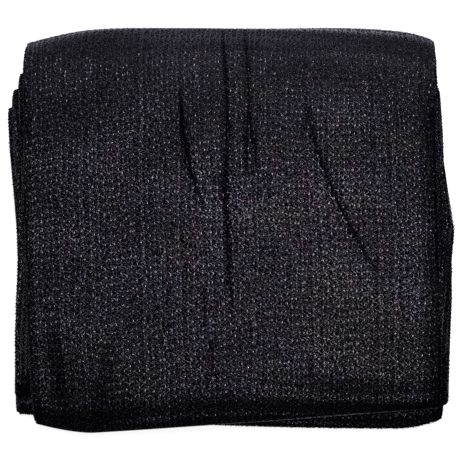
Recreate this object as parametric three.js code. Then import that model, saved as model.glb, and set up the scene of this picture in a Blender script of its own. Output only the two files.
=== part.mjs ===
// A black knitted cover net of about 2.1 m by 4.7 m, folded for storage into a soft, nearly square bundle.
// The net is first folded lengthwise into a narrow strip of six plies. The strip is then folded in half
// four times, which makes a stack of sixteen runs. The last of these folds is the big round one at the far
// side, with all the runs nested in it. The fold before it is at the near side and holds the lower half of
// the bundle. The strip's two free ends are on top, and the uppermost one hangs over the near side as a hem.
// Units are millimetres. +X is the bundle's width, +Y runs from the near side to the far fold, +Z is up,
// and the bundle lies on z = 0.

import * as THREE from "three";

// Driving dimensions of the stack
const TIMES_FOLDED = 4;
const STRIP_THICKNESS = 2.4; // six plies of net, pressed together
const RUN_GAP = 1.4; // air between one run and the next
const LEVEL_PITCH = STRIP_THICKNESS + RUN_GAP;
const RUN_COUNT = 2 ** TIMES_FOLDED;
const TOP_LEVEL = RUN_COUNT - 1;
const HALF_WIDTH = 172; // of the top run
const HALF_DEPTH = 173;

// The bundle is full in its middle and falls away towards its sides and ends, as shares of its height.
const SIDE_FALL = 0.09;
const END_FALL = 0.1;
const FALL_POWER = 4; // the higher a power, the closer to the edge the surface turns down

// The nested layers of the far fold, from the outermost inwards: how far back each one reaches at its left
// and at its right, and the places of the strip's left and right edges there
const FAR_FOLDS = [
  { yLeft: 161, yRight: 165, left: -173, right: 173 },
  { yLeft: 156, yRight: 160, left: -173, right: 173 },
  { yLeft: 149, yRight: 154, left: -174, right: 174 },
  { yLeft: 134, yRight: 148, left: -178, right: 174 },
  { yLeft: 120, yRight: 141, left: -183, right: 174 },
  { yLeft: 112, yRight: 126, left: -185, right: 177 },
  { yLeft: 104, yRight: 119, left: -189, right: 176 },
  { yLeft: 90, yRight: 95, left: -186, right: 173 },
];
const FAR_ARCH = 12; // a layer reaches this much further back in the middle than at the sides
const FAR_ARCH_POWERS = { left: 4, right: 9 }; // the left corner slants, the right one is squarer

// The strip's turns at the near side in the order in which it runs through them, from the hem to the other
// free end: how far forward each one reaches, and the places of the strip's left and right edges there
const NEAR_TURNS = [
  { yLeft: -171, yMiddle: -162, yRight: -150, left: -161, right: 170 },
  { yLeft: -153, yMiddle: -163, yRight: -165, left: -175, right: 175 },
  { yLeft: -140, yMiddle: -144, yRight: -146, left: -175, right: 177 },
  { yLeft: -130, yMiddle: -138, yRight: -138, left: -168, right: 171 },
  { yLeft: -133, yMiddle: -131, yRight: -121, left: -170, right: 177 },
  { yLeft: -138, yMiddle: -147, yRight: -146, left: -175, right: 172 },
  { yLeft: -133, yMiddle: -137, yRight: -126, left: -173, right: 174 },
  { yLeft: -146, yMiddle: -156, yRight: -155, left: -171, right: 173 },
  { yLeft: -126, yMiddle: -119, yRight: -107, left: -165, right: 172 },
];
const NEAR_CORNER = 8; // below the hem, the right corner of each turn is rounded off by this much
const NEAR_CORNER_SHARE = 0.115; // of the width
const LEFT_HOLLOW = 4; // below the top run, the left edges are drawn in half-way along
const RIGHT_SWELL = 8; // and the right edges stand out

// The top run hangs down over the near side in a quarter of an ellipse, lower at the left, where the corner
// of its hem is drawn back.
const DROOP_LENGTH = 46;
const DROOP_LEFT = 49;
const DROOP_RIGHT = 29;
const HEM_ANGLE = THREE.MathUtils.degToRad(12);
const HEM_CORNER = 11; // how far the corner is drawn back
const HEM_CORNER_SHARE = 0.15; // of the width
const HEM_CORNER_POWER = 1.5;

// The top run lies loose and a little lifted, and the creases are troughs in it. One row for each crease,
// from its far end to its near end: halfWidth and depth are the trough's.
const LIFT = 5.5;
const LIFT_SIDE_POWER = 8;
const LIFT_END_POWER = 6;
const CREASE_TAPER_POWER = 3;
const CREASES = [
  { yFar: 150, yNear: 52, xFar: -7, xMiddle: -4, xNear: -5, halfWidth: 6, depth: 3.6 },
  { yFar: 74, yNear: -70, xFar: -5, xMiddle: -7, xNear: 2, halfWidth: 6, depth: 4.2 },
  { yFar: 108, yNear: 20, xFar: -43, xMiddle: -36, xNear: -23, halfWidth: 6, depth: 4.4 },
  { yFar: 148, yNear: 30, xFar: 12, xMiddle: 13, xNear: 19, halfWidth: 7, depth: 3.8 },
  { yFar: 84, yNear: -44, xFar: 66, xMiddle: 86, xNear: 122, halfWidth: 8, depth: 3.8 },
  { yFar: -56, yNear: -122, xFar: -24, xMiddle: -19, xNear: -13, halfWidth: 6, depth: 2.4 },
  { yFar: -80, yNear: -142, xFar: -142, xMiddle: -137, xNear: -131, halfWidth: 10, depth: 4.2 },
  { yFar: -98, yNear: -140, xFar: -97, xMiddle: -100, xNear: -104, halfWidth: 8, depth: 2.2 },
];

// How finely the surface is divided: the top run across and along, the others, and the folds
const TOP_COLUMNS = 48;
const TOP_STEPS = 22;
const DROOP_STEPS = 5;
const RUN_COLUMNS = 10;
const EDGE_CROWDING = 0.6; // how much closer the other runs' columns are at the edges, where the corners are
const RUN_STEPS = 3;
const FOLD_STEP_LENGTH = 9;
const LEAST_FOLD_STEPS = 4;

const { lerp } = THREE.MathUtils;
const QUARTER_TURN = Math.PI / 2;

// Shares of the width, from 0 to 1, for a number of columns
function columnShares(columns, crowding) {
  return Array.from({ length: columns + 1 }, (_, i) => {
    const even = i / columns;
    return even - (crowding * Math.sin(2 * Math.PI * even)) / (2 * Math.PI);
  });
}

const TOP_SHARES = columnShares(TOP_COLUMNS, 0);
const RUN_SHARES = columnShares(RUN_COLUMNS, EDGE_CROWDING);

// The levels of the runs in the order in which the strip goes through them. With each folding in half, the
// half with the free ends stays on top and the other half is turned under it.
function foldedLevels(times) {
  let levels = [0];
  for (let i = 0; i < times; i++) {
    const count = levels.length;
    levels = levels.flatMap((level, run) => {
      const halves = [count + level, count - 1 - level];
      return run % 2 === 0 ? halves : halves.reverse();
    });
  }
  return levels;
}

const LEVELS = foldedLevels(TIMES_FOLDED);

function levelHeight(level) {
  return STRIP_THICKNESS / 2 + level * LEVEL_PITCH;
}

// An even run goes to the far side, an odd one comes back.
function goesBack(run) {
  return run % 2 === 0;
}

function farFoldOf(run) {
  return FAR_FOLDS[Math.min(LEVELS[run], TOP_LEVEL - LEVELS[run])];
}

function nearTurnOf(run) {
  return NEAR_TURNS[Math.ceil(run / 2)];
}

// A fold that joins a run to the next one: the height of its centre, the reach of the strip's middle beyond
// that centre, which is also half its height, and whether the strip goes up or down through it
function foldAfter(run) {
  const here = levelHeight(LEVELS[run]);
  const next = levelHeight(LEVELS[run + 1]);
  return { z: (here + next) / 2, reach: Math.abs(next - here) / 2, rise: Math.sign(next - here) };
}

// The curve through three values that are evenly spaced
function throughThree(first, middle, last, t) {
  return first * (1 - t) * (1 - 2 * t) + middle * 4 * t * (1 - t) + last * t * (2 * t - 1);
}

// How far forward a turn reaches, at a share u of the width from the left edge to the right one
function nearReach({ yLeft, yMiddle, yRight }, u) {
  return throughThree(yLeft, yMiddle, yRight, u);
}

// How much the right corner of a turn is rounded off
function nearCorner(u) {
  return NEAR_CORNER * Math.max(0, 1 - (1 - u) / NEAR_CORNER_SHARE) ** 2;
}

// How far back a layer of the far fold reaches
function farReach({ yLeft, yRight }, u) {
  const power = lerp(FAR_ARCH_POWERS.left, FAR_ARCH_POWERS.right, u);
  return lerp(yLeft, yRight, u) + FAR_ARCH * (1 - Math.abs(2 * u - 1) ** power);
}

// Where the flat stretch of a run starts, at its near end, and where it ends, at the far fold
function flatStart(run, u) {
  const front = nearReach(nearTurnOf(run), u);
  if (run === 0) return front + DROOP_LENGTH;
  const rounded = front + nearCorner(u);
  if (run === RUN_COUNT - 1) return rounded;
  return rounded + STRIP_THICKNESS / 2 + foldAfter(goesBack(run) ? run - 1 : run).reach;
}

function flatEnd(run, u) {
  const fold = foldAfter(goesBack(run) ? run : run - 1);
  return farReach(farFoldOf(run), u) - STRIP_THICKNESS / 2 - fold.reach;
}

// The strip's left and right edges on a run, t of the way from its near end to the far fold
function runEdges(run, t) {
  const near = nearTurnOf(run);
  const far = farFoldOf(run);
  const looseness = run === 0 ? 0 : 4 * t * (1 - t);
  return {
    left: lerp(near.left, far.left, t) + looseness * LEFT_HOLLOW,
    right: lerp(near.right, far.right, t) + looseness * RIGHT_SWELL,
  };
}

// How deep the creases are at a point of the top run
function creaseDepth(x, y) {
  let depth = 0;
  for (const crease of CREASES) {
    const length = crease.yFar - crease.yNear;
    const t = (crease.yFar - y) / length;
    if (t <= 0 || t >= 1) continue;
    const line = throughThree(crease.xFar, crease.xMiddle, crease.xNear, t);
    const slope = (crease.xNear - crease.xFar) / length;
    const away = (x - line) / Math.hypot(1, slope) / crease.halfWidth;
    const taper = 1 - Math.abs(2 * t - 1) ** CREASE_TAPER_POWER;
    depth += crease.depth * taper * Math.exp(-away * away);
  }
  return depth;
}

// How far the loose top run stands above its place in the stack, t of the way from near end to far fold
function topLift(x, y, u, t) {
  const acrossShare = 1 - Math.abs(2 * u - 1) ** LIFT_SIDE_POWER;
  const alongShare = 1 - Math.abs(2 * t - 1) ** LIFT_END_POWER;
  return acrossShare * alongShare * Math.max(0, LIFT - creaseDepth(x, y));
}

// How much of its full height the bundle has at a point
function fullness(x, y) {
  const side = SIDE_FALL * Math.abs(x / HALF_WIDTH) ** FALL_POWER;
  const end = END_FALL * Math.abs(y / HALF_DEPTH) ** FALL_POWER;
  return 1 - side - end;
}

// A station is one line across the strip. Its at(u) gives the middle of the strip there, at a share u of
// the width, and the way the strip runs, as y and z only; edges are the strip's edges on that line, and shares
// are the places of its points.

// A station on the flat stretch of a run, t of the way from its near end to the far fold
function flatStation(run, t) {
  const isTop = run === 0;
  const edges = runEdges(run, t);
  const at = (u) => {
    const x = lerp(edges.left, edges.right, u);
    const y = lerp(flatStart(run, u), flatEnd(run, u), t);
    const lift = isTop ? topLift(x, y, u, t) : 0;
    return { y, z: levelHeight(LEVELS[run]) + lift, dy: goesBack(run) ? 1 : -1, dz: 0 };
  };
  return { shares: isTop ? TOP_SHARES : RUN_SHARES, edges, at };
}

// A station on the fold after a run, at an angle from -90 to 90 degrees
function foldStation(run, angle) {
  const isFar = goesBack(run);
  const outward = isFar ? 1 : -1;
  const { z, reach, rise } = foldAfter(run);
  const at = (u) => ({
    y: (isFar ? flatEnd(run, u) : flatStart(run, u)) + outward * reach * Math.cos(angle),
    z: z + rise * reach * Math.sin(angle),
    dy: -outward * Math.sin(angle),
    dz: rise * Math.cos(angle),
  });
  return { shares: RUN_SHARES, edges: runEdges(run, isFar ? 1 : 0), at };
}

// A station on the drooping end of the top run, at an angle from the hem's up to 90 degrees
function droopStation(angle) {
  const at = (u) => {
    const corner = HEM_CORNER * Math.max(0, 1 - u / HEM_CORNER_SHARE) ** HEM_CORNER_POWER;
    const length = DROOP_LENGTH - corner;
    const height = lerp(DROOP_LEFT, DROOP_RIGHT, u);
    const along = new THREE.Vector2(length * Math.sin(angle), height * Math.cos(angle)).normalize();
    return {
      y: flatStart(0, u) - length * Math.cos(angle),
      z: levelHeight(TOP_LEVEL) - height * (1 - Math.sin(angle)),
      dy: along.x,
      dz: along.y,
    };
  };
  return { shares: TOP_SHARES, edges: runEdges(0, 0), at };
}

// Every station of the strip, from the hem to the other free end
function stripStations() {
  const stations = [];
  for (let i = 0; i < DROOP_STEPS; i++) {
    stations.push(droopStation(lerp(HEM_ANGLE, QUARTER_TURN, i / DROOP_STEPS)));
  }
  for (let run = 0; run < RUN_COUNT; run++) {
    const steps = run === 0 ? TOP_STEPS : RUN_STEPS;
    for (let i = 0; i <= steps; i++) {
      stations.push(flatStation(run, goesBack(run) ? i / steps : 1 - i / steps));
    }
    if (run === RUN_COUNT - 1) break;
    const foldLength = Math.PI * foldAfter(run).reach;
    const foldSteps = Math.max(LEAST_FOLD_STEPS, Math.round(foldLength / FOLD_STEP_LENGTH));
    for (let i = 1; i < foldSteps; i++) {
      stations.push(foldStation(run, lerp(-QUARTER_TURN, QUARTER_TURN, i / foldSteps)));
    }
  }
  return stations;
}

// The closed surface of a strip: two skins, half the thickness to either side of its middle, walls along
// both edges, and a cap at each end
function stripGeometry(stations) {
  const positions = [];
  const triangles = [];

  function row(station, side) {
    return station.shares.map((u) => {
      const { y, z, dy, dz } = station.at(u);
      const x = lerp(station.edges.left, station.edges.right, u);
      const skinY = y - (side * dz * STRIP_THICKNESS) / 2;
      const skinZ = z + (side * dy * STRIP_THICKNESS) / 2;
      positions.push(x, skinY, skinZ * fullness(x, skinY));
      return positions.length / 3 - 1;
    });
  }

  // Joins two rows, whose points may differ in number, with a band of triangles
  function band(first, second, isFlipped) {
    let a = 0;
    let b = 0;
    const lastA = first.length - 1;
    const lastB = second.length - 1;
    while (a < lastA || b < lastB) {
      const stepsFirst = b === lastB || (a < lastA && (a + 1) / lastA <= (b + 1) / lastB);
      const corner = stepsFirst ? first[a + 1] : second[b + 1];
      if (isFlipped) triangles.push(first[a], corner, second[b]);
      else triangles.push(first[a], second[b], corner);
      if (stepsFirst) a++;
      else b++;
    }
  }

  const rows = stations.map((station) => ({ outer: row(station, 1), inner: row(station, -1) }));
  for (let i = 0; i + 1 < rows.length; i++) {
    const here = rows[i];
    const next = rows[i + 1];
    band(here.outer, next.outer, true);
    band(here.inner, next.inner, false);
    band([here.outer[0], here.inner[0]], [next.outer[0], next.inner[0]], false);
    band([here.outer.at(-1), here.inner.at(-1)], [next.outer.at(-1), next.inner.at(-1)], true);
  }
  band(rows[0].outer, rows[0].inner, false);
  band(rows.at(-1).outer, rows.at(-1).inner, true);

  const geometry = new THREE.BufferGeometry();
  geometry.setAttribute("position", new THREE.Float32BufferAttribute(positions, 3));
  geometry.setIndex(triangles);
  geometry.computeVertexNormals();
  return geometry;
}

// Shiny black plastic thread, knitted
const netMaterial = new THREE.MeshStandardMaterial({ color: 0x1c1b20, roughness: 0.5, metalness: 0 });

const coverNet = new THREE.Mesh(stripGeometry(stripStations()), netMaterial);
coverNet.name = "cover_net";

const bundle = new THREE.Group();
bundle.add(coverNet);

export default bundle;
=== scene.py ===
import math
from collections import namedtuple

import bpy
import numpy as np
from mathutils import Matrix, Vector


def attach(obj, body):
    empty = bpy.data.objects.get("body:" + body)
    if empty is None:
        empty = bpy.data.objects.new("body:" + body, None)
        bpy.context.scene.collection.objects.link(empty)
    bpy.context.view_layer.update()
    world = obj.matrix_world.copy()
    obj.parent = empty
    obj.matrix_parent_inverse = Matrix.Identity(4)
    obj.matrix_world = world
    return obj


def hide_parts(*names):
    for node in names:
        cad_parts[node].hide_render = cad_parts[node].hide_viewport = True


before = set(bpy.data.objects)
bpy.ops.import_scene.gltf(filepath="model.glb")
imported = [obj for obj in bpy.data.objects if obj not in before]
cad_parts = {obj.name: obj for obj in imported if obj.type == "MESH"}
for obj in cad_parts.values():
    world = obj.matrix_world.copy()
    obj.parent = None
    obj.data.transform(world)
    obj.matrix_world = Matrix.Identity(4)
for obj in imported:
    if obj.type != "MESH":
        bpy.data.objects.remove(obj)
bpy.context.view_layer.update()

# The net is one knitted panel of black plastic thread, 2.1 m by 4.7 m, with the plain edges that the
# knitting machine leaves. It was folded lengthwise into a strip of six plies, and the strip was folded in
# half four times. The plies lie loosely on each other, so that no two of their edges quite line up.
TIMES_FOLDED = 4
RUN_COUNT = 2**TIMES_FOLDED
TOP_LEVEL = RUN_COUNT - 1
STRIP_THICKNESS = 0.0024
LEVEL_PITCH = 0.0038


def folded_levels(times):
    """The levels of the runs in the order in which the strip goes through them."""
    levels = [0]
    for _ in range(times):
        count = len(levels)
        halves = [(count + level, count - 1 - level) for level in levels]
        levels = [x for run, pair in enumerate(halves) for x in (pair if run % 2 == 0 else pair[::-1])]
    return levels


LEVELS = folded_levels(TIMES_FOLDED)


def level_height(level):
    return STRIP_THICKNESS / 2 + level * LEVEL_PITCH


def goes_back(run):
    """Whether the strip goes from the near side to the far fold on a run."""
    return run % 2 == 0


def fold_after(run):
    """The height of a fold's centre, its reach beyond that centre, and whether the strip rises in it."""
    here = level_height(LEVELS[run])
    beyond = level_height(LEVELS[run + 1])
    return (here + beyond) / 2, abs(beyond - here) / 2, math.copysign(1, beyond - here)


# How far back each layer of the far fold reaches at its left and right, from the outermost inwards, and
# where the strip's edges are there. The corners reach less far: the left one slants, the right is squarer.
FarFold = namedtuple("FarFold", "y_left y_right left right")
FAR_FOLDS = [
    FarFold(0.176, 0.173, -0.175, 0.1755),
    FarFold(0.171, 0.168, -0.174, 0.1755),
    FarFold(0.162, 0.164, -0.174, 0.1755),
    FarFold(0.150, 0.161, -0.1795, 0.174),
    FarFold(0.136, 0.157, -0.185, 0.174),
    FarFold(0.128, 0.142, -0.185, 0.177),
    FarFold(0.120, 0.132, -0.189, 0.180),
    FarFold(0.106, 0.111, -0.186, 0.173),
]
FAR_CORNER_DROPS = (0.016, 0.010)  # at the left and the right
FAR_CORNER_POWERS = (3, 10)

# The strip's turns at the near side, from the hem to its other free end. Their right corners are rounded.
NearTurn = namedtuple("NearTurn", "y_left y_middle y_right left right")
NEAR_TURNS = [
    NearTurn(-0.171, -0.162, -0.150, -0.161, 0.170),
    NearTurn(-0.153, -0.163, -0.165, -0.175, 0.175),
    NearTurn(-0.140, -0.144, -0.155, -0.175, 0.177),
    NearTurn(-0.130, -0.138, -0.138, -0.168, 0.171),
    NearTurn(-0.133, -0.131, -0.121, -0.170, 0.176),
    NearTurn(-0.138, -0.147, -0.146, -0.175, 0.172),
    NearTurn(-0.133, -0.137, -0.126, -0.173, 0.174),
    NearTurn(-0.146, -0.156, -0.155, -0.171, 0.173),
    NearTurn(-0.126, -0.119, -0.107, -0.165, 0.172),
]
NEAR_CORNER = 0.008
NEAR_CORNER_SHARE = 0.115  # of the width

# Between the two ends, the runs below the top one are hollow at the left side and full at the right.
LEFT_HOLLOW = 0.004
RIGHT_SWELL = 0.0105
SIDE_PLACES = (0, 0.45, 0.66, 0.85, 1)  # from a run's near end to the far fold
HOLLOW_SHARES = (0, 1, 0.75, 0.2, 0)
SWELL_SHARES = (0, 1, 0.3, 0.12, 0)

# The end of the top run hangs down over the near side in a quarter of an oval. Its left corner is rounded.
DROOP_LENGTH = 0.046
DROOP_LEFT = 0.049  # how far down it would hang at the left and the right
DROOP_RIGHT = 0.029
DROOP_ROUTE = 0.064  # along its curve
HEM_ANGLE = math.radians(12)  # where the oval is cut off at the hem
HEM_CORNER = 0.011
HEM_CORNER_SHARE = 0.15
HEM_CORNER_POWER = 1.5

MIDWAY = 0.5  # across the width
QUARTER_TURN = math.pi / 2


def part_way(start, end, share):
    return start + (end - start) * share


def through_three(first, middle, last, t):
    """The curve through three values that are evenly spaced."""
    return first * (1 - t) * (1 - 2 * t) + middle * 4 * t * (1 - t) + last * t * (2 * t - 1)


def far_fold_of(run):
    return FAR_FOLDS[min(LEVELS[run], TOP_LEVEL - LEVELS[run])]


def near_turn_of(run):
    return NEAR_TURNS[(run + 1) // 2]


def flat_start(run, u):
    """Where a run's flat stretch starts, at its near end, at a share u of the width from left to right."""
    turn = near_turn_of(run)
    front = through_three(turn.y_left, turn.y_middle, turn.y_right, u)
    if run == 0:
        return front + DROOP_LENGTH
    rounded = front + NEAR_CORNER * np.maximum(0, 1 - (1 - u) / NEAR_CORNER_SHARE) ** 2
    if run == RUN_COUNT - 1:
        return rounded
    return rounded + STRIP_THICKNESS / 2 + fold_after(run - 1 if goes_back(run) else run)[1]


def flat_end(run, u):
    """Where a run's flat stretch ends, at the far fold."""
    fold = far_fold_of(run)
    drop = part_way(*FAR_CORNER_DROPS, u) * np.abs(2 * u - 1) ** part_way(*FAR_CORNER_POWERS, u)
    back = part_way(fold.y_left, fold.y_right, u) - drop
    return back - STRIP_THICKNESS / 2 - fold_after(run if goes_back(run) else run - 1)[1]


def run_edges(run, t):
    """The strip's left and right edges on a run, t of the way from its near end to the far fold."""
    near, far = near_turn_of(run), far_fold_of(run)
    loose = float(run > 0)
    return (
        part_way(near.left, far.left, t) + loose * LEFT_HOLLOW * np.interp(t, SIDE_PLACES, HOLLOW_SHARES),
        part_way(near.right, far.right, t) + loose * RIGHT_SWELL * np.interp(t, SIDE_PLACES, SWELL_SHARES),
    )


# The outer ply of the top run lies loose, a little above the others. Its creases are narrow troughs that go
# down to them, each from its far end to its near end.
LIFT = 0.0055
LIFT_SIDE_POWER = 8
LIFT_END_POWER = 6
CREASE_TAPER_POWER = 3
Crease = namedtuple("Crease", "y_far y_near x_far x_middle x_near half_width depth")
CREASES = [
    Crease(0.168, 0.058, -0.0068, -0.0034, -0.0030, 0.0009, 0.0050),
    Crease(0.095, 0.010, -0.0028, -0.0026, -0.0048, 0.0030, 0.0016),
    Crease(0.064, -0.086, -0.0030, -0.0024, 0.0023, 0.0013, 0.0048),
    Crease(0.038, 0.002, -0.0066, -0.0074, -0.0046, 0.0013, 0.0022),
    Crease(0.168, 0.068, 0.0126, 0.0150, 0.0158, 0.0011, 0.0036),
    Crease(0.092, 0.030, 0.0152, 0.0134, 0.0146, 0.0012, 0.0045),
    Crease(0.082, 0.032, 0.0168, 0.0198, 0.0208, 0.0010, 0.0042),
    Crease(0.110, 0.000, -0.0404, -0.0354, -0.0190, 0.0010, 0.0055),
    Crease(0.092, 0.012, -0.0402, -0.0366, -0.0260, 0.0036, 0.0014),
    Crease(0.098, -0.060, 0.0612, 0.0852, 0.1266, 0.0015, 0.0048),
    Crease(-0.058, -0.086, -0.0226, -0.0208, -0.0192, 0.0011, 0.0035),
    Crease(-0.098, -0.128, -0.0144, -0.0142, -0.0142, 0.0012, 0.0030),
    Crease(-0.080, -0.160, -0.1420, -0.1375, -0.1310, 0.0055, 0.0018),
    Crease(-0.100, -0.160, -0.0985, -0.1010, -0.1070, 0.0060, 0.0010),
]
CREASE_SLACK = 0.0006  # the troughs in the ply are this much wider than those in its threads


def crease_depth(x, y, wider):
    depth = np.zeros(np.broadcast(x, y).shape)
    for crease in CREASES:
        length = crease.y_far - crease.y_near
        t = np.clip((crease.y_far - y) / length, 0, 1)
        line = through_three(crease.x_far, crease.x_middle, crease.x_near, t)
        away = (x - line) / math.hypot(1, (crease.x_near - crease.x_far) / length)
        trough = np.exp(-((away / (crease.half_width + wider)) ** 2))
        depth += crease.depth * (1 - np.abs(2 * t - 1) ** CREASE_TAPER_POWER) * trough
    return depth


def top_lift(x, y, u, t, wider):
    """How far the outer ply of the top run stands above its place in the stack."""
    across = 1 - np.abs(2 * u - 1) ** LIFT_SIDE_POWER
    along = 1 - abs(2 * t - 1) ** LIFT_END_POWER
    return across * along * np.maximum(0, LIFT - crease_depth(x, y, wider))


# A station is one line across the strip: on its hanging end, on the flat stretch of a run or on the fold
# after one. On a run, at is the share of the way to the far fold, and on the others it is an angle.
Station = namedtuple("Station", "kind run at")


def station_edges(station):
    t = {"droop": 0, "flat": station.at, "fold": 1 if goes_back(station.run) else 0}[station.kind]
    return run_edges(station.run, t)


def strip_middle(station, x, u, loose=0.0, wider=0.0):
    """The y and z of the strip's middle on a station's line, and the way in which the strip runs there.
    loose is 1 for the outer ply, which is lifted off the others on the top run."""
    kind, run, at = station
    if kind == "droop":
        corner = HEM_CORNER * np.maximum(0, 1 - u / HEM_CORNER_SHARE) ** HEM_CORNER_POWER
        length = DROOP_LENGTH - corner
        height = part_way(DROOP_LEFT, DROOP_RIGHT, u)
        y = flat_start(0, u) - length * math.cos(at)
        z = level_height(TOP_LEVEL) - height * (1 - math.sin(at))
        dy, dz = length * math.sin(at), height * math.cos(at)
        size = np.hypot(dy, dz)
        return y, z, dy / size, dz / size
    if kind == "flat":
        y = part_way(flat_start(run, u), flat_end(run, u), at)
        lift = loose * top_lift(x, y, u, at, wider) if run == 0 else 0
        return y, level_height(LEVELS[run]) + lift, 1 if goes_back(run) else -1, 0
    middle, reach, rise = fold_after(run)
    outward = 1 if goes_back(run) else -1
    edge = flat_end(run, u) if goes_back(run) else flat_start(run, u)
    y = edge + outward * reach * math.cos(at)
    z = middle + rise * reach * math.sin(at)
    return y, z, -outward * math.sin(at), rise * math.cos(at)


# The bundle is full in its middle. It falls away towards its sides and ends, by shares of its height, and
# is slack at the near left corner and the right shoulder. The space between its layers varies in waves.
HALF_WIDTH = 0.172
HALF_DEPTH = 0.173
SIDE_FALL = 0.09
END_FALL = 0.1
FALL_POWER = 4
Slack = namedtuple("Slack", "x y x_reach y_reach depth")
SLACKS = [
    Slack(-0.165, -0.165, 0.080, 0.070, 0.16),
    Slack(0.186, -0.010, 0.022, 0.150, 0.22),
]
SPACING_WAVES = 4  # from the underside to the top
SPACING_PLAY = 0.5
SpacingShift = namedtuple("SpacingShift", "amount across along")  # radians, and radians for each metre
SPACING_SHIFTS = [SpacingShift(3, 17, 9), SpacingShift(2, -12, 31)]


def settled(x, y, z):
    """The height at which a point of the stack comes to rest."""
    sides = SIDE_FALL * np.abs(x / HALF_WIDTH) ** FALL_POWER
    ends = END_FALL * np.abs(y / HALF_DEPTH) ** FALL_POWER
    share = 1 - sides - ends
    for slack in SLACKS:
        away = ((x - slack.x) / slack.x_reach) ** 2 + ((y - slack.y) / slack.y_reach) ** 2
        share = share - slack.depth * np.exp(-away)
    full = RUN_COUNT * LEVEL_PITCH
    turn = 2 * math.pi * SPACING_WAVES
    shift = sum(wave.amount * np.sin(wave.across * x + wave.along * y) for wave in SPACING_SHIFTS)
    uneven = np.sin(turn * z / full + shift) - np.sin(shift)
    return share * (z + SPACING_PLAY * full / turn * uneven)


# The plies' edges lie a little inside the strip's own, and those of the top run step back from each other.
PLY_COUNT = 6
PLY_PITCH = 0.00045
TOP_GAP = 0.0009  # added to that under the outer ply on the top run
EDGE_COUNT = PLY_COUNT + 1
EDGE_PLAY = 0.0016
EDGE_WAVES = 4
EDGE_WAVE_LENGTHS = (0.05, 0.4)  # the shortest and the longest
TOP_STEPS_BACK = np.array([0, 0.008, 0.002, 0.005, 0.001, 0.002, 0])
TOP_STEP_PLACES = (0.11, 0.18, 0.26, 0.30, 0.36)  # from the hem
TOP_STEP_SHARES = (0, 0.05, 0.28, 0.3, 0)
edge_chance = np.random.default_rng(4)
EDGE_LENGTHS = edge_chance.uniform(*EDGE_WAVE_LENGTHS, (EDGE_WAVES, EDGE_COUNT))
EDGE_PHASES = edge_chance.uniform(0, 2 * math.pi, (EDGE_WAVES, EDGE_COUNT))


def edges_drawn_in(distance):
    """How far in each edge of the plies lies, at a distance along the strip from the hem."""
    waves = np.sin(2 * math.pi * distance / EDGE_LENGTHS + EDGE_PHASES).mean(0)
    return EDGE_PLAY * (1 + waves) + TOP_STEPS_BACK * np.interp(distance, TOP_STEP_PLACES, TOP_STEP_SHARES)


def lay(station, distance, ply, share, out=0.0, aside=0.0, wider=0.0):
    """Points of a ply on a station's line, at a share of the ply's width: out is how far they lie to the
    outer side of the ply, and aside how far to the right."""
    left, right = station_edges(station)
    drawn_in = edges_drawn_in(distance)
    ply = np.asarray(ply)
    at_left = np.where(ply % 2 == 0, ply, ply + 1)
    at_right = np.where(ply % 2 == 0, ply + 1, ply)
    x = part_way(left + drawn_in[at_left], right - drawn_in[at_right], share) + aside
    y, z, dy, dz = strip_middle(station, x, (x - left) / (right - left), ply == 0, wider)
    out = out + ((PLY_COUNT - 1) / 2 - ply) * PLY_PITCH - TOP_GAP * ((ply > 0) & (station.run == 0))
    y = y - out * dz
    return np.stack([x, y, settled(x, y, z + out * dy)], axis=-1)


def strip_stations(spacing, top_spacing, fold_spacing, fewest):
    """Stations along the whole strip, from the hem to its other free end, and their distances from the
    hem. Each stretch has at least the fewest steps."""
    angles = np.linspace(HEM_ANGLE, QUARTER_TURN, 1 + max(fewest, round(DROOP_ROUTE / top_spacing)))
    stations = [Station("droop", 0, at) for at in angles[:-1]]
    for run in range(RUN_COUNT):
        length = flat_end(run, MIDWAY) - flat_start(run, MIDWAY)
        count = max(fewest, round(length / (top_spacing if run == 0 else spacing)))
        shares = np.linspace(0, 1, count + 1)
        stations += [Station("flat", run, t) for t in (shares if goes_back(run) else shares[::-1])]
        if run < RUN_COUNT - 1:
            count = max(fewest, round(math.pi * fold_after(run)[1] / fold_spacing))
            angles = np.linspace(-QUARTER_TURN, QUARTER_TURN, count + 1)
            stations += [Station("fold", run, at) for at in angles[1:-1]]
    middles = [strip_middle(station, 0.0, MIDWAY)[:2] for station in stations]
    steps = np.hypot(*np.diff(np.array(middles, float), axis=0).T)
    return stations, np.concatenate([[0], np.cumsum(steps)])


# The columns of the cloth's grid, one ply after another, with the turn from each ply to the next. The outer
# ply is fine, most of all where the creases are.
CREASED_FROM, CREASED_TO = 0.34, 0.6  # shares of the width
OUTER_STEPS = (25, 45, 33)  # to the left of the creases, among them and to the right
OUTER_SHARES = np.concatenate(
    [
        np.linspace(0, CREASED_FROM, OUTER_STEPS[0], endpoint=False),
        np.linspace(CREASED_FROM, CREASED_TO, OUTER_STEPS[1], endpoint=False),
        np.linspace(CREASED_TO, 1, OUTER_STEPS[2] + 1),
    ]
)
INNER_STEPS = 8
INNER_MARGIN = 0.012
INNER_SHARES = np.sort([*np.linspace(0, 1, INNER_STEPS + 1), INNER_MARGIN, 1 - INNER_MARGIN])
TURN_ANGLES = np.radians([-45, 0, 45])
columns = []
for ply in range(PLY_COUNT):
    to_right = ply % 2 == 0
    shares = OUTER_SHARES if ply == 0 else INNER_SHARES
    columns += [(ply, share, 0.0, 0.0) for share in (shares if to_right else shares[::-1])]
    if ply < PLY_COUNT - 1:
        for angle in TURN_ANGLES:
            aside = (1 if to_right else -1) * PLY_PITCH / 2 * math.cos(angle)
            columns.append((ply, float(to_right), -PLY_PITCH / 2 * (1 + math.sin(angle)), aside))
column_ply, column_share, column_out, column_aside = np.array(columns).T
column_ply = column_ply.astype(int)

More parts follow.
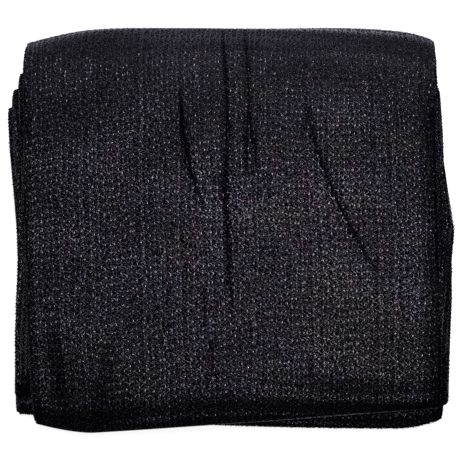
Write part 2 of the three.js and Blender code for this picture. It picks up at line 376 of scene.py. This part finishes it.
CLOTH_THICKNESS = 0.00028
WALE_PITCH = 0.0042
COURSE_PITCH = 0.0032
stations, distances = strip_stations(spacing=0.036, top_spacing=0.006, fold_spacing=0.006, fewest=4)
rows = [
    lay(station, distance, column_ply, column_share, column_out, column_aside, CREASE_SLACK)
    for station, distance in zip(stations, distances)
]
points = np.array(rows).reshape(-1, 3)
points[:, 2] = np.maximum(points[:, 2], CLOTH_THICKNESS / 2)
index = np.arange(len(points)).reshape(len(rows), -1)
corners = [index[:-1, :-1], index[:-1, 1:], index[1:, 1:], index[1:, :-1]]
faces = np.stack(corners, axis=-1).reshape(-1, 4)
widths = np.linalg.norm(np.diff(rows[len(rows) // 2], axis=0), axis=1)
across = np.concatenate([[0], np.cumsum(widths)])
places = np.stack(np.meshgrid(across / WALE_PITCH, distances / COURSE_PITCH), axis=-1).reshape(-1, 2)

# Painted light and shade, carried in the glint and far values: less light is painted into the creases and
# on the hanging end, and the far side is painted as lit more evenly, down between its threads. The outer ply
# is painted darker towards its left and right edges, where it turns away from the light, all but on the far
# fold. What lies beneath it has painted shade too, least at the very edge. A shade below 0 is lighter.
CREASE_SHADE = 4.0
HANGING_SHADE = 0.8
EVEN_FROM, EVEN_TO = 0.035, 0.152
FAR_POWER = 2
INNER_GLINT = 1.3  # of the plies below the outer one, where they show at the sides
SideShade = namedtuple("SideShade", "band amount beneath_out beneath_in")
LEFT_SHADE = SideShade(0.016, 1.8, -0.3, 1.4)
RIGHT_SHADE = SideShade(0.052, 2.6, 0.8, 2.0)
SIDE_POWER = 1.5
SHADED_TO, UNSHADED_FROM = 0.085, 0.125  # the y up to which the sides' shade is full, and where it is gone
BENEATH_PLACES = (0.006, 0.012)  # as shares of the width, from either edge


def evenly_lit(y):
    """How much a place shares in the far side's painted even light."""
    return np.clip((y - EVEN_FROM) / (EVEN_TO - EVEN_FROM), 0, 1)


def side_shade(share, y):
    """How much painted shade the outer ply gets towards its sides, at a share of its width."""
    shade = 0
    for away, side in ((share, LEFT_SHADE), (1 - share, RIGHT_SHADE)):
        shade = shade + side.amount * np.clip(1 - away / side.band, 0, 1) ** SIDE_POWER
    return shade * np.interp(y, (SHADED_TO, UNSHADED_FROM), (1, 0))


def beneath_shade(share):
    """How much painted shade what lies beneath the outer ply gets."""
    left = np.interp(share, BENEATH_PLACES, (LEFT_SHADE.beneath_out, LEFT_SHADE.beneath_in))
    right = np.interp(1 - share, BENEATH_PLACES, (RIGHT_SHADE.beneath_out, RIGHT_SHADE.beneath_in))
    return np.where(share < MIDWAY, left, right)


def mesh_piece(name, points, faces, places, **shades):
    """An object made of points and faces. One UV map says where each point is on the flat net, in wales
    and courses, and the other has the same places from 0 to 1. The shades are values of painted light at
    each point: glint is the painted highlight, how brightly the thread is painted to shine there, and far
    how much it shares in the far side's painted even light."""
    mesh = bpy.data.meshes.new(name)
    mesh.from_pydata(points, [], faces)
    corners = np.empty(len(mesh.loops), np.int32)
    mesh.loops.foreach_get("vertex_index", corners)
    whole = (places - places.min(0)) / np.ptp(places, axis=0)
    for layer_name, values in (("OFBake", whole), ("knit", places)):
        layer = mesh.uv_layers.new(name=layer_name)
        layer.uv.foreach_set("vector", values[corners].astype(np.float32).ravel())
    for shade, values in shades.items():
        attribute = mesh.attributes.new(shade, "FLOAT", "POINT")
        attribute.data.foreach_set("value", values.astype(np.float32))
    mesh.shade_smooth()
    piece = bpy.data.objects.new(name, mesh)
    bpy.context.collection.objects.link(piece)
    return piece


x, y = points[:, 0], points[:, 1]
share = np.tile(column_share, len(rows))
on_top_run = np.repeat([station.run == 0 for station in stations], len(columns))
on_top = on_top_run & np.tile(column_ply == 0, len(rows))
# Painted light and shade on the ply's spots: darker in the creases, towards the outer ply's sides and on the
# hanging end, shaded further in on the plies beneath, and with the far side's even painted light.
hanging = [math.cos(station.at) if station.kind == "droop" else 0 for station in stations]
hanging_light = 1 - HANGING_SHADE * np.repeat(hanging, len(columns))
crease_light = np.exp(-CREASE_SHADE * crease_depth(x, y, CREASE_SLACK) / LIFT)
top_light = crease_light * np.exp(-side_shade(share, y))
inner_light = INNER_GLINT * np.exp(-beneath_shade(share))
glints = np.where(on_top, top_light * hanging_light, inner_light)
far = np.where(on_top, top_light * evenly_lit(y) ** FAR_POWER, 0)
net = mesh_piece("folded_net", points, faces.tolist(), places, glint=glints, far=far)
cloth = net.modifiers.new("cloth", "SOLIDIFY")
cloth.thickness = CLOTH_THICKNESS
cloth.offset = 0

# A Mix node's sockets for colours, which have the same names as those for numbers
MIX_SHARE, MIX_FIRST, MIX_SECOND = 0, 6, 7
MIX_COLOUR = 2


class Wire:
    """A socket of a material's node tree. Arithmetic on wires makes Math nodes, and node makes any other."""

    def __init__(self, tree, socket=None):
        self.tree = tree
        self.socket = socket

    def node(self, kind, settings=None, inputs=None, output=0):
        made = self.tree.nodes.new("ShaderNode" + kind)
        for name, value in (settings or {}).items():
            setattr(made, name, value)
        for name, value in (inputs or {}).items():
            if isinstance(value, Wire):
                self.tree.links.new(value.socket, made.inputs[name])
            else:
                made.inputs[name].default_value = value
        return Wire(self.tree, made.outputs[output])

    def other(self, output):
        """Another output of the same node."""
        return Wire(self.tree, self.socket.node.outputs[output])

    def math(self, operation, *values):
        return self.node("Math", {"operation": operation}, dict(enumerate(values)))

    def __add__(self, other):
        return self.math("ADD", self, other)

    __radd__ = __add__

    def __mul__(self, other):
        return self.math("MULTIPLY", self, other)

    __rmul__ = __mul__

    def __sub__(self, other):
        return self.math("SUBTRACT", self, other)

    def __rsub__(self, other):
        return self.math("SUBTRACT", other, self)

    def __truediv__(self, other):
        return self.math("DIVIDE", self, other)

    def __pow__(self, other):
        return self.math("POWER", self, other)

    def mixed(self, first, second):
        """The colour between two others, with this wire as the share of the second."""
        inputs = {MIX_SHARE: self, MIX_FIRST: first, MIX_SECOND: second}
        return self.node("Mix", {"data_type": "RGBA"}, inputs, MIX_COLOUR)

    def tinted(self, tint):
        """This wire's colour times another."""
        inputs = {MIX_SHARE: 1.0, MIX_FIRST: self, MIX_SECOND: tint}
        return self.node("Mix", {"data_type": "RGBA", "blend_type": "MULTIPLY"}, inputs, MIX_COLOUR)


def new_material(name):
    """A new material, its node tree and its shader."""
    material = bpy.data.materials.new(name)
    material.use_nodes = True
    return material, Wire(material.node_tree), material.node_tree.nodes["Principled BSDF"]


# The plastic is a little olive in some patches of the net and a little rose in others, mostly around these
# two places.
Tint = namedtuple("Tint", "colour scale threshold middle reach")
TINTS = [
    Tint((1.03, 1.02, 0.87, 1), 40.0, 2.0, (0.150, -0.100, 0.060), 0.21),
    Tint((1.18, 0.90, 0.98, 1), 55.0, 2.75, (0.036, -0.022, 0.060), 0.17),
]
TINT_CONTRAST = 6.0


def patches_of_tint(wires):
    place = wires.node("TexCoord", output="Object")
    colour = (1, 1, 1, 1)
    for tint in TINTS:
        noise = wires.node("TexNoise", {}, {"Vector": place, "Scale": tint.scale, "Detail": 2.0})
        away = wires.node("VectorMath", {"operation": "DISTANCE"}, {0: place, 1: tint.middle}, "Value")
        share = noise * TINT_CONTRAST - tint.threshold - away / tint.reach
        share.socket.node.use_clamp = True
        colour = share.mixed(colour, tint.colour)
    return colour


def knit_spots(wires, scale):
    """Spots scattered over the knit: how far a place is from the middle of its spot, and the spot's luck."""
    place = wires.node("UVMap", {"uv_map": "knit"})
    inputs = {"Vector": place, "Scale": scale, "Randomness": 0.9}
    away = wires.node("TexVoronoi", {"voronoi_dimensions": "2D"}, inputs)
    return away, wires.node("SeparateXYZ", {}, {"Vector": away.other("Color")})


def shade_of(wires, name):
    """A piece's own values of a shade."""
    return wires.node("Attribute", {"attribute_name": name}, output="Fac")


# The ply is black plastic with painted highlights: scattered spots of light, where its loops would glint
# between the threads, which are small bumps too. On its far side the far value paints an even light in place
# of the black.
GAP_BLACK = (0.0008, 0.0006, 0.0020, 1)
PLY_LIGHT = (0.197, 0.188, 0.245, 1)
FAR_PAINTED_LIGHT = (0.0055, 0.0051, 0.0083, 1)
PLY_SPOTS = 3.5  # to a stitch, each way
SPOT_SHARPNESS = 2.6
SPOT_LUCK_POWER = 3
net_material, wires, shader = new_material("net_ply")
away, luck = knit_spots(wires, PLY_SPOTS)
spot = wires.math("MAXIMUM", 1.0 - away * SPOT_SHARPNESS, 0.0)
bright = spot * luck**SPOT_LUCK_POWER * shade_of(wires, "glint")
gap = shade_of(wires, "far").mixed(GAP_BLACK, FAR_PAINTED_LIGHT)
colour = bright.mixed(gap, PLY_LIGHT).tinted(patches_of_tint(wires))
wires.tree.links.new(colour.socket, shader.inputs["Base Color"])
bumps = wires.node("Bump", {}, {"Height": spot, "Distance": 0.0004, "Strength": 0.8})
wires.tree.links.new(bumps.socket, shader.inputs["Normal"])
shader.inputs["Roughness"].default_value = 0.5
shader.inputs["Specular IOR Level"].default_value = 0.0
net.data.materials.append(net_material)
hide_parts("cover_net")
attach(net, "root")

# The knit on the outer ply, and on the runs below it where their sides and near folds show. Each wale is a
# chain of V-shaped loops of round plastic thread, one loop to a course, and a flat thread is laid in from
# wale to wale in a zigzag. The knit is drawn out of line where the net was pulled about.
WALE_COUNT = 81
LOOP_HALF_WIDTH = 0.0005
LOOP_HEIGHT = 0.00042
LOOP_THREAD = 0.00023
LOOP_SHAPE = np.array([(0.12, 0.35, -0.2), (0.34, 1.0, 1.0), (0.56, 0.7, 0.2)])  # along, aside and up
LAID_HALF_WIDTH = 0.00030
LAID_HALF_THICKNESS = 0.00013
LAID_HEIGHTS = (-0.00005, 0.00016)  # under a wale, and between two of them
LAID_SHIFT = 0.38  # stitches, from the loops
LIFT_OFF = 0.00022  # of the threads from the outer ply's middle
THREAD_RING = [(-1, -0.6), (0, 1), (1, -0.6)]  # a thread's three corners, aside and outward
THREAD_SIDES = len(THREAD_RING)
THREAD_PLACES = np.array([(-0.15, 0), (0, 0), (0.15, 0)])  # of its corners, in wales and courses
SIDE_ROOM = 0.05  # stitches, or columns of a grid, kept free at either side

# How the stitches differ from each other. Each has chances for its place along and across the net, its
# width, its height, the lean of its two legs, the sway of its laid thread and the glint of its two legs.
CHANCE_COUNT = 10
LOOSENESS = 0.135  # stitches, from one stitch to the next
LOOP_PLAY = 0.2  # of a loop's width and height
LEG_LEAN = 0.25  # of a loop's height
LAID_PLAY = 0.00012
WALE_PLAY = 0.12  # stitches, from wale to wale
WALE_CHANCES = np.random.default_rng(6).normal(0, 1, (3, WALE_COUNT, 1, 1))
DRIFT = 0.3  # stitches
DRIFT_WAVES = 7
DRIFT_STEEPEST = 0.35  # radians for each stitch
DRIFT_PHASES = 6.3  # radians
DRIFT_ALONG, DRIFT_ACROSS, DRIFT_GLINTS = 1, 2, 3  # seeds
PULL = 0.6  # the share of the drift that moves the stitches

# How the stitches shine: their glints are painted highlights in their colour, brighter on one leg of each
# loop, on every other course and on the laid thread's way to the left, as the light catches them. They are
# painted as lit more evenly towards the far side, where only single ones sparkle, with painted shade where
# the net faces the near side and a painted glow where it turns over the far fold.
GLINT = 0.73  # of a common loop, as a share of the brightest
GLINT_SPREAD = 0.50
CLUSTERING = 0.8
EVENING = 0.7
EVEN_GLINT = 0.016
RIM_GLOW = 3.1
NEAR_SHADE = 4.9
NEAR_SHADE_POWER = 3
SPARKLE = 12.0
SPARKLE_POWERS = (2, 4)  # with which it grows towards the far side, and ends at the rim
SPARKLE_FROM, SPARKLE_TO = 1.3, 2.0  # chances
SPARKLE_ROUND = 1.55  # the same, at most, on the rest of such a loop
LOOP_GLINTS = np.array([0.06, 1.0, 0.2])
LOOP_PAIR = (1.65, 0.35)  # in even and in odd courses
TURNED_ABOVE = 0.45  # past this chance, a wale's odd courses are the bright ones
LEG_GLINTS = (0.3, 1.0)  # of a loop's left and right legs
LAID_GLINT = 0.140
LAID_GLINTS = (0.15, 1.0)  # under a wale, and between two of them
LAID_PAIR = (1.3, 0.7)  # on the way to the left, and to the right

# Patches of painted light and shade on the threads, standing in for places where the net bulges or sags a
# little and catches more of the light or less.
Sheen = namedtuple("Sheen", "x y x_reach y_reach amount")
SHEENS = [
    Sheen(-0.060, -0.152, 0.024, 0.022, 1.4),
    Sheen(-0.152, -0.124, 0.010, 0.016, 0.7),
    Sheen(-0.118, -0.130, 0.034, 0.026, -0.35),
    Sheen(0.095, -0.136, 0.050, 0.010, 0.3),
    Sheen(0.155, -0.137, 0.030, 0.010, 0.6),
    Sheen(0.110, -0.151, 0.060, 0.005, -0.45),
    Sheen(-0.130, 0.045, 0.045, 0.045, -0.3),
    Sheen(0.057, 0.036, 0.045, 0.050, 0.2),
    Sheen(-0.020, 0.100, 0.100, 0.030, -0.2),
    Sheen(0.150, 0.170, 0.060, 0.008, 1.0),
    Sheen(0.000, 0.175, 0.140, 0.006, 0.4),
]


def surface(stations, distances, shares, ply=0):
    """The surface of the strip's first or last ply as a grid of points, with its outward directions."""
    grid = np.array([lay(s, d, ply, shares) for s, d in zip(stations, distances)])
    outward = np.cross(np.gradient(grid, axis=1), np.gradient(grid, axis=0)) * (1 if ply == 0 else -1)
    return np.concatenate([grid, outward / np.linalg.norm(outward, axis=-1, keepdims=True)], axis=-1)


def between(grid, row, column):
    """A grid's values between its points."""
    i = np.clip(np.floor(row).astype(int), 0, grid.shape[0] - 2)
    j = np.clip(np.floor(column).astype(int), 0, grid.shape[1] - 2)
    r, c = (row - i)[..., None], (column - j)[..., None]
    near = part_way(grid[i, j], grid[i, j + 1], c)
    return part_way(near, part_way(grid[i + 1, j], grid[i + 1, j + 1], c), r)


def drift(course, wale, seed):
    """How far the knit is drawn out of line at a place."""
    least = (-DRIFT_STEEPEST, -DRIFT_STEEPEST, 0)
    most = (DRIFT_STEEPEST, DRIFT_STEEPEST, DRIFT_PHASES)
    waves = np.random.default_rng(seed).uniform(least, most, (DRIFT_WAVES, 3))
    return DRIFT * sum(np.sin(a * course + b * wale + c) for a, b, c in waves) / DRIFT_WAVES**0.5


def threads(paths, outward, half_width, half_thickness):
    """Three-sided threads along paths: points and faces, with the ends closed."""
    along = np.gradient(paths, axis=1)
    side = np.cross(along, outward)
    side /= np.linalg.norm(side, axis=-1, keepdims=True)
    corners = [paths + side * a * half_width + outward * b * half_thickness for a, b in THREAD_RING]
    points = np.stack(corners, axis=2)
    index = np.arange(points[..., 0].size).reshape(points.shape[:3])
    turned = np.roll(index, -1, axis=2)
    walls = np.stack([index[:, :-1], turned[:, :-1], turned[:, 1:], index[:, 1:]], axis=-1).reshape(-1, 4)
    ends = np.concatenate([index[:, 0, ::-1], index[:, -1]])
    return points.reshape(-1, 3), walls.tolist() + ends.tolist()


def knit(name, grid, courses_at, first, last, chances, wales=range(WALE_COUNT), beneath=False):
    """The threads of a stretch of the knit, from its first course to its last. courses_at are the courses
    of grid's rows. A stretch may be beneath the top run."""
    all_points, all_faces, all_places, all_glints, all_far = [], [], [], [], []

    def add(course, wale, height, level, luck, half_width, half_thickness):
        """Adds threads that go through the given courses and wales."""
        wale = np.clip(wale, SIDE_ROOM - 0.5, WALE_COUNT - 0.5 - SIDE_ROOM)
        drawn_course = course + drift(course, wale, DRIFT_ALONG) * PULL
        row = np.interp(drawn_course, courses_at, np.arange(len(courses_at)))
        last_column = grid.shape[1] - 1
        column = (wale + 0.5 + drift(course, wale, DRIFT_ACROSS) * PULL) / WALE_COUNT * last_column
        found = between(grid, row, np.clip(column, SIDE_ROOM, last_column - SIDE_ROOM))
        outward = found[..., 3:]
        paths = found[..., :3] + outward * height[..., None]
        points, faces = threads(paths, outward, half_width, half_thickness)
        start = sum(len(p) for p in all_points)
        all_points.append(points)
        all_faces.extend([[start + i for i in face] for face in faces])
        places = np.stack([wale, course], axis=-1)[:, :, None] + THREAD_PLACES
        all_places.append(places.reshape(-1, 2))
        # Painted light and shade: the glint is painted darker where the net faces the near side, at the
        # sides, beneath the top run and in the creases, and lighter where it turns over the far fold.
        x, y, tilt = found[..., 0], found[..., 1], outward[..., 1]
        even = evenly_lit(y) * (not beneath)
        share = (wale + 0.5) / WALE_COUNT
        shade = NEAR_SHADE * np.clip(-tilt, 0, 1) ** NEAR_SHADE_POWER
        if beneath:
            shade = shade + beneath_shade(share)
        else:
            shade = shade + side_shade(share, y) + CREASE_SHADE * crease_depth(x, y, 0.0) / LIFT
        gain = GLINT_SPREAD * luck * (1 - EVENING * even) + CLUSTERING * drift(course, wale, DRIFT_GLINTS)
        sparkle = np.clip(luck, SPARKLE_FROM, SPARKLE_TO) - SPARKLE_FROM
        gain = gain + SPARKLE * even ** SPARKLE_POWERS[0] * (1 - even ** SPARKLE_POWERS[1]) * sparkle
        for sheen in SHEENS:
            away = ((x - sheen.x) / sheen.x_reach) ** 2 + ((y - sheen.y) / sheen.y_reach) ** 2
            gain = gain + sheen.amount * np.exp(-away)
        glow = part_way(level, EVEN_GLINT, even) * np.exp(gain - shade + RIM_GLOW * np.clip(tilt, 0, 1))
        all_glints.append(np.repeat(np.sqrt(glow), THREAD_SIDES))
        all_far.append(np.repeat(even**FAR_POWER * np.exp(-shade), THREAD_SIDES))

    courses = np.arange(first, last + 1)
    count = len(wales)
    here = chances[:, wales][:, :, courses - math.ceil(courses_at[0]), None]
    moved_along, moved_across, wider, higher = here[:4]
    leans, sways, lucks = here[4:6], here[6:8], here[8:10]
    wale_along, wale_across, wale_turn = WALE_CHANCES[:, wales]
    wales = np.array(wales)[:, None, None]
    along, aside, up = LOOP_SHAPE.T
    for side, lean, luck, leg in zip((-1, 1), leans, lucks, LEG_GLINTS):
        course = courses[:, None] + along + LOOSENESS * moved_along + WALE_PLAY * wale_along
        wale = wales + side * aside * LOOP_HALF_WIDTH / WALE_PITCH * (1 + LOOP_PLAY * wider)
        wale = wale + LOOSENESS * moved_across + WALE_PLAY * wale_across
        height = LIFT_OFF + LOOP_HEIGHT * (up * (1 + LOOP_PLAY * higher) + LEG_LEAN * lean)
        pair = np.where((courses[:, None] + (wale_turn > TURNED_ABOVE)) % 2 == 0, *LOOP_PAIR)
        level = np.broadcast_to(GLINT * leg * pair * LOOP_GLINTS, height.shape)
        luck = np.where(LOOP_GLINTS == LOOP_GLINTS.max(), luck, np.minimum(luck, SPARKLE_ROUND))
        keep = len(courses) * len(up) - len(up) + 1
        strand = (v.reshape(count, -1)[:, :keep] for v in (course, wale, height, level, luck))
        add(*strand, LOOP_THREAD, LOOP_THREAD)
    course = np.stack([courses, courses + 0.5], axis=-1).ravel()[:-1]
    under = course % 1 == 0
    zigzag = np.abs(course % 2 - 1)
    sway = np.stack(list(sways[:, :-1, :, 0]), axis=-1).reshape(count - 1, -1)[:, :-1]
    wale = wales[:-1, :, 0] + zigzag + LOOSENESS * sway
    height = LIFT_OFF + np.where(under, *LAID_HEIGHTS) + LAID_PLAY * sway[::-1]
    level = LAID_GLINT * np.where(under, *LAID_GLINTS) * np.where(course % 2 < 1, *LAID_PAIR)
    course = np.broadcast_to(course + LAID_SHIFT, wale.shape)
    add(course, wale, height, level, np.minimum(sway, SPARKLE_FROM), LAID_HALF_WIDTH, LAID_HALF_THICKNESS)
    points, places, glints, far = (np.concatenate(v) for v in (all_points, all_places, all_glints, all_far))
    return mesh_piece(name, points, all_faces, places, glint=glints, far=far)


# The thread is black plastic. Its glints are painted highlights: the glint value paints it towards the light
# colour, and on the far side the far value paints an even light in place of the black. It is smoother where
# its glint is painted bright.
THREAD_DARK = (0.0009, 0.0007, 0.0022, 1)
THREAD_LIGHT = (0.580, 0.555, 0.720, 1)
THREAD_SPOTS = 4.5  # to a stitch, each way
MEAN_LUCK = 0.5
THREAD_ROUGHNESS = 0.34
GLINT_POLISH = 0.15  # how much smoother it is where it shines
THREAD_SHINE = 0.01
knit_material, wires, shader = new_material("net_thread")
luck = knit_spots(wires, THREAD_SPOTS)[1]
far = shade_of(wires, "far")
evened_luck = luck + (MEAN_LUCK - luck) * (EVENING * far)
glint = shade_of(wires, "glint") ** 2 * evened_luck / MEAN_LUCK
colour = glint.mixed(far.mixed(THREAD_DARK, FAR_PAINTED_LIGHT), THREAD_LIGHT).tinted(patches_of_tint(wires))
wires.tree.links.new(colour.socket, shader.inputs["Base Color"])
wires.tree.links.new((THREAD_ROUGHNESS - glint * GLINT_POLISH).socket, shader.inputs["Roughness"])
shader.inputs["Specular IOR Level"].default_value = THREAD_SHINE

KNIT_ENDS_AT = 1.15  # the angle on the way round to the underside at which the knit stops
NEAR_FOLD_REACH = 0.1  # the share of the next run on which the near fold's knit goes on
FINE_STEPS = 342
FINE_SHARES = np.linspace(0, 1, FINE_STEPS + 1)
fine, fine_distances = strip_stations(spacing=0.010, top_spacing=0.0016, fold_spacing=0.0016, fewest=6)
fine_courses = fine_distances / COURSE_PITCH
stitch_chance = np.random.default_rng(5)


def first_course(kind):
    """The course at which the first stretch of a kind starts."""
    return round(fine_courses[next(i for i, station in enumerate(fine) if station.kind == kind)])


def whole_courses(courses_at):
    """The first and the last whole course on a stretch."""
    return math.ceil(courses_at[0]), int(courses_at[-1])


def stitch_chances(courses_at):
    """How each stitch of a stretch differs from the others."""
    first, last = whole_courses(courses_at)
    return stitch_chance.normal(0, 1, (CHANCE_COUNT, WALE_COUNT, last - first + 1))


def on_far_fold(station):
    return station[:2] == ("fold", 0) and station.at < KNIT_ENDS_AT


def on_near_fold(station):
    if station[:2] == ("fold", 1):
        return station.at > -KNIT_ENDS_AT
    return station[:2] == ("flat", 2) and station.at < NEAR_FOLD_REACH


upper_end = max(i for i, station in enumerate(fine) if on_far_fold(station)) + 1
upper_grid = surface(fine[:upper_end], fine_distances[:upper_end], FINE_SHARES)
upper_courses = fine_courses[:upper_end]
upper_chances = stitch_chances(upper_courses)
hem_end, fold_start, upper_last = first_course("flat"), first_course("fold"), int(upper_courses[-1])
middle = (hem_end + fold_start) // 2
near_fold = [i for i, station in enumerate(fine) if on_near_fold(station)]
lower = slice(near_fold[0], near_fold[-1] + 1)
lower_grid = surface(fine[lower], fine_distances[lower], FINE_SHARES)
lower_courses = fine_courses[lower]
lower_chances = stitch_chances(lower_courses)

# The sides of two runs show beside the top run.
LEFT_SIDE_LEVEL = 11
RIGHT_SIDE_LEVEL = 14
SIDE_WALES = 6


def side_stretch(name, level, ply, wales):
    """A strip of knit along the side of a run."""
    run = LEVELS.index(level)
    rows = [i for i, station in enumerate(fine) if station[:2] == ("flat", run)]
    grid = surface([fine[i] for i in rows], fine_distances[rows], FINE_SHARES, ply)
    courses_at = fine_courses[rows]
    return name, grid, courses_at, *whole_courses(courses_at), stitch_chances(courses_at), wales, True


left_wales = range(SIDE_WALES)
right_wales = range(WALE_COUNT - SIDE_WALES, WALE_COUNT)
STRETCHES = [
    ("knit_hem", upper_grid, upper_courses, 0, hem_end, upper_chances),
    ("knit_top_near", upper_grid, upper_courses, hem_end, middle, upper_chances),
    ("knit_top_far", upper_grid, upper_courses, middle, fold_start, upper_chances),
    ("knit_far_fold", upper_grid, upper_courses, fold_start, upper_last, upper_chances),
    ("knit_near_fold", lower_grid, lower_courses, *whole_courses(lower_courses), lower_chances),
    side_stretch("knit_left_side", LEFT_SIDE_LEVEL, 0, left_wales),
    side_stretch("knit_right_side", RIGHT_SIDE_LEVEL, PLY_COUNT - 1, right_wales),
]
for stretch in STRETCHES:
    piece = knit(*stretch)
    piece.data.materials.append(knit_material)
    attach(piece, "root")

# The stitches that stand out along the folded and the plain edges of all the plies, where the same plastic
# thread turns back. They make the sides of the bundle rough.
EDGE_THREAD = 0.00026
EDGE_REACH = (-0.0005, 0.0004)  # of every other point, beyond the edge
EDGE_SCATTER = 0.0002
EDGE_WANDER = 0.0001
EDGE_GLINT = 0.07
TOP_EDGE = 1  # the outer ply's right edge, which has a painted highlight on the top run
TOP_EDGE_GLOW = 1.8
CORNER_PLACES = np.array([0, 0.3, 0.6])  # of a thread's corners on the flat net
half_course = COURSE_PITCH / 2
edge_stations, edge_distances = strip_stations(half_course, half_course, half_course, fewest=4)
edge = np.arange(EDGE_COUNT)
edge_ply = np.maximum(edge - 1, 0)
edge_right = edge % 2 == 1
edge_out = np.where((edge > 0) & (edge < PLY_COUNT), -PLY_PITCH / 2, 0)  # a fold is between two plies
edge_stitch_chance = np.random.default_rng(8)
paths = []
for i, (station, distance) in enumerate(zip(edge_stations, edge_distances)):
    reach = EDGE_REACH[i % 2] + edge_stitch_chance.normal(0, EDGE_SCATTER, EDGE_COUNT)
    aside = np.where(edge_right, reach, -reach)
    wander = edge_stitch_chance.normal(0, EDGE_WANDER, EDGE_COUNT)
    paths.append(lay(station, distance, edge_ply, edge_right.astype(float), edge_out + wander, aside))
paths = np.array(paths).transpose(1, 0, 2)
along = np.gradient(paths, axis=1)
outward = np.cross((1.0, 0.0, 0.0), along)
outward /= np.linalg.norm(outward, axis=-1, keepdims=True)
points, faces = threads(paths, outward, EDGE_THREAD, EDGE_THREAD)
points[:, 2] = np.maximum(points[:, 2], 0)
line_places = np.broadcast_to(edge[:, None, None], (*paths.shape[:2], THREAD_SIDES)) + CORNER_PLACES
along_places = np.broadcast_to((edge_distances / COURSE_PITCH)[None, :, None], line_places.shape)
places = np.stack([line_places, along_places], axis=-1).reshape(-1, 2)
# Their glints are painted highlights of random brightness, stronger along the outer ply's right edge on the
# top run.
glow = EDGE_GLINT * np.exp(edge_stitch_chance.normal(0, GLINT_SPREAD, paths.shape[:2]))
glow[TOP_EDGE] *= np.where([station[:2] == ("flat", 0) for station in edge_stations], TOP_EDGE_GLOW, 1)
glints = np.repeat(np.sqrt(glow), THREAD_SIDES)
edge_stitches = mesh_piece("edge_stitches", points, faces, places, glint=glints)
edge_stitches.data.materials.append(knit_material)
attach(edge_stitches, "root")

# The hem is the plain end of the panel: a smooth double thread of the same plastic, knitted in to close off
# the last course.
HEM_THREAD = 0.0009
HEM_GLINT = 0.11
HEM_DIM = 0.04  # away from the place where it turns up to the light
HEM_LIGHT_AT = 0.045
HEM_LIGHT_REACH = 0.05
hem_station = Station("droop", 0, HEM_ANGLE)
path = lay(hem_station, 0.0, 0, FINE_SHARES, LIFT_OFF)[None]
outward = np.broadcast_to((0.0, -math.cos(HEM_ANGLE), math.sin(HEM_ANGLE)), path.shape)
points, faces = threads(path, outward, HEM_THREAD, HEM_THREAD / 2)
# A painted highlight along the hem, brightest where it turns up to the light.
light = np.exp(-(((points[:, 0] - HEM_LIGHT_AT) / HEM_LIGHT_REACH) ** 2))
glints = np.sqrt(part_way(HEM_DIM, HEM_GLINT, light))
places = np.stack(np.meshgrid(CORNER_PLACES, FINE_SHARES * WALE_COUNT), axis=-1).reshape(-1, 2)
hem_edge = mesh_piece("hem_edge", points, faces, places, glint=glints)
hem_edge.data.materials.append(knit_material)
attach(hem_edge, "root")

# The studio is a plain white floor under soft light from overhead and from behind, with a spot on the middle
# of the net. The camera looks down from nearly above.
FLOOR_SIZE = 12
FLOOR_GAP = 0.0002  # below the net
bpy.ops.mesh.primitive_plane_add(size=FLOOR_SIZE, location=(0, 0, -FLOOR_GAP))
floor = bpy.context.object
floor.name = "floor"
floor_material, wires, shader = new_material("floor_white")
shader.inputs["Base Color"].default_value = (0.3, 0.3, 0.3, 1)
shader.inputs["Emission Color"].default_value = (1, 1, 1, 1)
shader.inputs["Emission Strength"].default_value = 0.9
shader.inputs["Roughness"].default_value = 0.9
floor.data.materials.append(floor_material)

Lamp = namedtuple("Lamp", "name kind place aim size power")
LAMPS = [
    Lamp("overhead", "AREA", (0.10, 0.40, 2.2), (0.02, 0.0, 0.03), 1.6, 25),
    Lamp("back", "AREA", (0.7, 2.2, 0.9), (0.0, 0.0, 0.03), 1.5, 42),
    Lamp("soft_spot", "SPOT", (0.30, 0.15, 2.2), (0.050, -0.015, 0.06), 0.15, 200),
]
SPOT_ANGLE = math.radians(14)
for lamp in LAMPS:
    aim = Vector(lamp.aim) - Vector(lamp.place)
    turn = aim.to_track_quat("-Z", "Y").to_euler()
    bpy.ops.object.light_add(type=lamp.kind, location=lamp.place, rotation=turn)
    light = bpy.context.object
    light.name = lamp.name
    light.data.energy = lamp.power
    if lamp.kind == "SPOT":
        light.data.shadow_soft_size = lamp.size
        light.data.spot_size = SPOT_ANGLE
        light.data.spot_blend = 1
    else:
        light.data.size = lamp.size

world = bpy.data.worlds.new("studio")
bpy.context.scene.world = world
world.use_nodes = True
world.node_tree.nodes["Background"].inputs["Color"].default_value = (1, 1, 1, 1)
world.node_tree.nodes["Background"].inputs["Strength"].default_value = 0.15

CAMERA_TARGET = Vector((0, -0.003, 0.030))
CAMERA_DISTANCE = 1.2
CAMERA_ELEVATION = math.radians(77)
back = Vector((0, -math.cos(CAMERA_ELEVATION), math.sin(CAMERA_ELEVATION)))
bpy.ops.object.camera_add(
    location=CAMERA_TARGET + back * CAMERA_DISTANCE, rotation=(-back).to_track_quat("-Z", "Y").to_euler()
)
camera = bpy.context.object
camera.data.lens = 113
camera.data.sensor_width = 36
bpy.context.scene.camera = camera
bpy.context.scene.view_settings.view_transform = "Standard"
# Denoising would smear the knit, which is as fine as the picture's pixels.
bpy.context.scene.cycles.use_denoising = False
